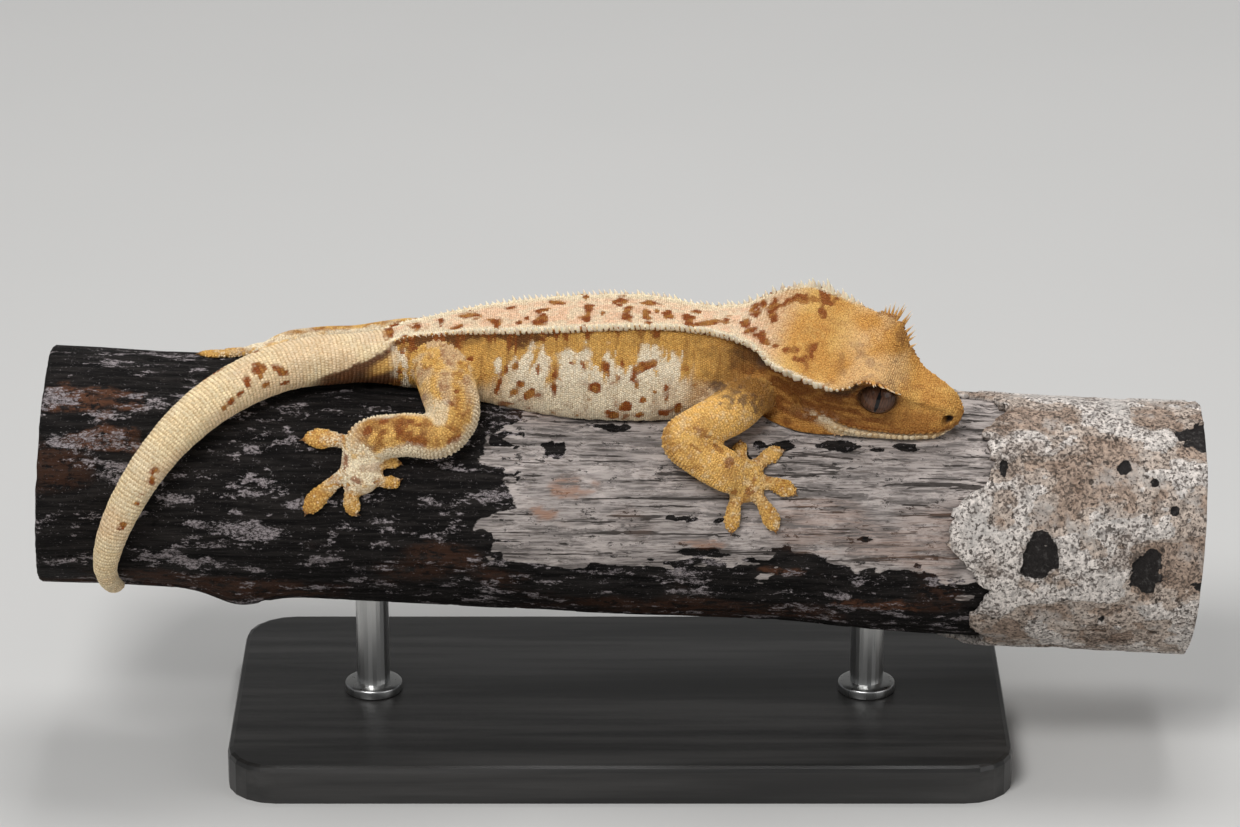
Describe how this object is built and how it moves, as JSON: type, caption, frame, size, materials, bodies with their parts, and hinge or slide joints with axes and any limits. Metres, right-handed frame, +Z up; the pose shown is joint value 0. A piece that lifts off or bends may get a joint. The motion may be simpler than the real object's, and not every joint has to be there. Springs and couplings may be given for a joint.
{
  "type": "gecko figure on a branch",
  "caption": "Life-size still model of a crested gecko lying along a cut branch, held over a flat display base by rods.",
  "frame": {"origin": "centre of the display base's underside, level with the floor", "axes": "+X along the branch towards the animal's head, +Y towards the animal's left side, +Z up"},
  "size_m": [0.2082, 0.066, 0.0876],
  "materials": {
    "tan_skin": "matte, finely scaled",
    "cream_skin": "matte, finely scaled",
    "eye": "wet gloss",
    "wood": "weathered, unfinished",
    "bark": "flaking bark",
    "base": "satin",
    "rod": "brushed"
  },
  "bodies": {
    "root": {"eye_left": "eye", "eye_right": "eye", "foot_left": "tan_skin", "foot_right": "tan_skin", "forearm_left": "tan_skin", "forearm_right": "tan_skin", "hand_left": "tan_skin", "hand_right": "tan_skin", "head": "tan_skin", "neck": "tan_skin", "perch_bark": "bark", "perch_branch": "wood", "shin_left": "tan_skin", "shin_right": "tan_skin", "stand_base": "base", "stand_rod_head": "rod", "stand_rod_tail": "rod", "tail_base": "cream_skin", "tail_middle": "cream_skin", "tail_tip": "cream_skin", "thigh_left": "tan_skin", "thigh_right": "tan_skin", "torso": "tan_skin", "upper_arm_left": "tan_skin", "upper_arm_right": "tan_skin"}
  },
  "joints": []
}
